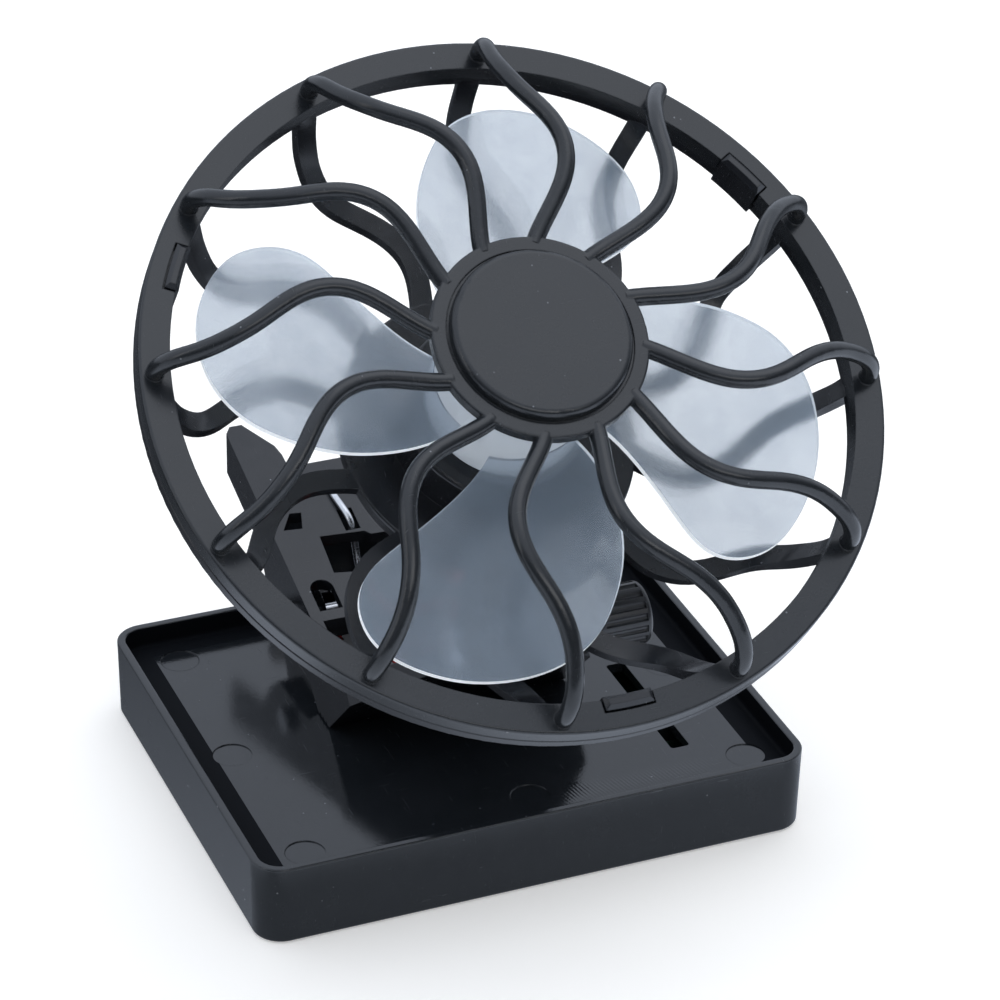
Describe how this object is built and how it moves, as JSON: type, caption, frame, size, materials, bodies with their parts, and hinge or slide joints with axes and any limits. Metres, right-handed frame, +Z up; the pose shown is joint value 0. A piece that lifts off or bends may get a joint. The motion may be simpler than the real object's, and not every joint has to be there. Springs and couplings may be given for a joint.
{
  "type": "clip-on solar fan",
  "caption": "Small round fan in a spoked guard, tilting on a spring clip that stands in the open back of a square solar panel tray.",
  "frame": {"origin": "centre of the tray's underside, on the plane the fan rests on", "axes": "+Z up, +Y towards the clip's handle, +X to the right seen from the fan's front"},
  "size_m": [0.105, 0.1133, 0.111],
  "materials": {
    "tray": "glossy black moulding",
    "board": "green-black circuit board",
    "cells": "dark blue silicon",
    "solder": "tinned",
    "cover": "clear panel front",
    "foam": "grey foam",
    "steel": "plated steel",
    "spring": "bright spring wire",
    "clip": "black moulding",
    "knob": "black moulding",
    "guard_front": "charcoal moulding, satin",
    "guard_rear": "charcoal moulding, satin",
    "cover_back": "charcoal moulding, satin",
    "screw": "zinc plated",
    "can": "nickel plated",
    "endcap": "off-white moulding",
    "magnet": "ferrite",
    "bronze": "sintered bronze and copper alloy",
    "shaft": "ground",
    "laminations": "stacked sheet",
    "windings": "enamelled copper wire",
    "blades": "frosted translucent moulding",
    "lead_red": "insulated lead",
    "lead_black": "insulated lead"
  },
  "bodies": {
    "base": {"solar_tray": "tray", "panel_board": "board", "solar_cells": "cells", "cell_ribbons": "solder", "panel_cover": "cover", "panel_pads": "foam", "panel_solder": "solder", "hinge_pin": "steel", "pin_ring": "steel", "spring_coil": "spring", "lead_red_tray": "lead_red", "lead_black_tray": "lead_black"},
    "clip": {"clip_lever": "clip", "spring_leg": "spring", "tilt_bolt": "steel", "tilt_washers": "steel", "lead_red_clip": "lead_red", "lead_black_clip": "lead_black"},
    "knob": {"tilt_knob": "knob"},
    "fan_head": {"front_guard": "guard_front", "rear_guard": "guard_rear", "motor_cover": "cover_back", "cover_screws": "screw", "motor_can": "can", "motor_endcap": "endcap", "motor_magnets": "magnet", "motor_bushings": "bronze", "motor_terminals": "bronze", "motor_brushes": "bronze", "lead_red_fan": "lead_red", "lead_black_fan": "lead_black"},
    "rotor": {"fan_rotor": "blades", "motor_shaft": "shaft", "armature_core": "laminations", "armature_coils": "windings", "commutator": "bronze"}
  },
  "joints": [
    {"name": "clip_hinge", "type": "hinge", "parent": "base", "child": "clip", "pos_m": [0, 0.0195, 0.018], "axis": [-1, 0, 0], "range_deg": [0, 18], "stiffness_Nm_per_rad": 0.12, "springref_deg": -28.65},
    {"name": "fan_tilt", "type": "hinge", "parent": "clip", "child": "fan_head", "pos_m": [0, -0.0245, 0.0365], "axis": [1, 0, 0], "range_deg": [-20, 25]},
    {"name": "knob_turn", "type": "hinge", "parent": "clip", "child": "knob", "pos_m": [0.014, -0.0245, 0.0365], "axis": [1, 0, 0], "range_deg": [0, 180]},
    {"name": "rotor_spin", "type": "hinge", "parent": "fan_head", "child": "rotor", "pos_m": [0, -0.0222, 0.0771], "axis": [0, -0.5962, 0.8028], "continuous": true}
  ]
}
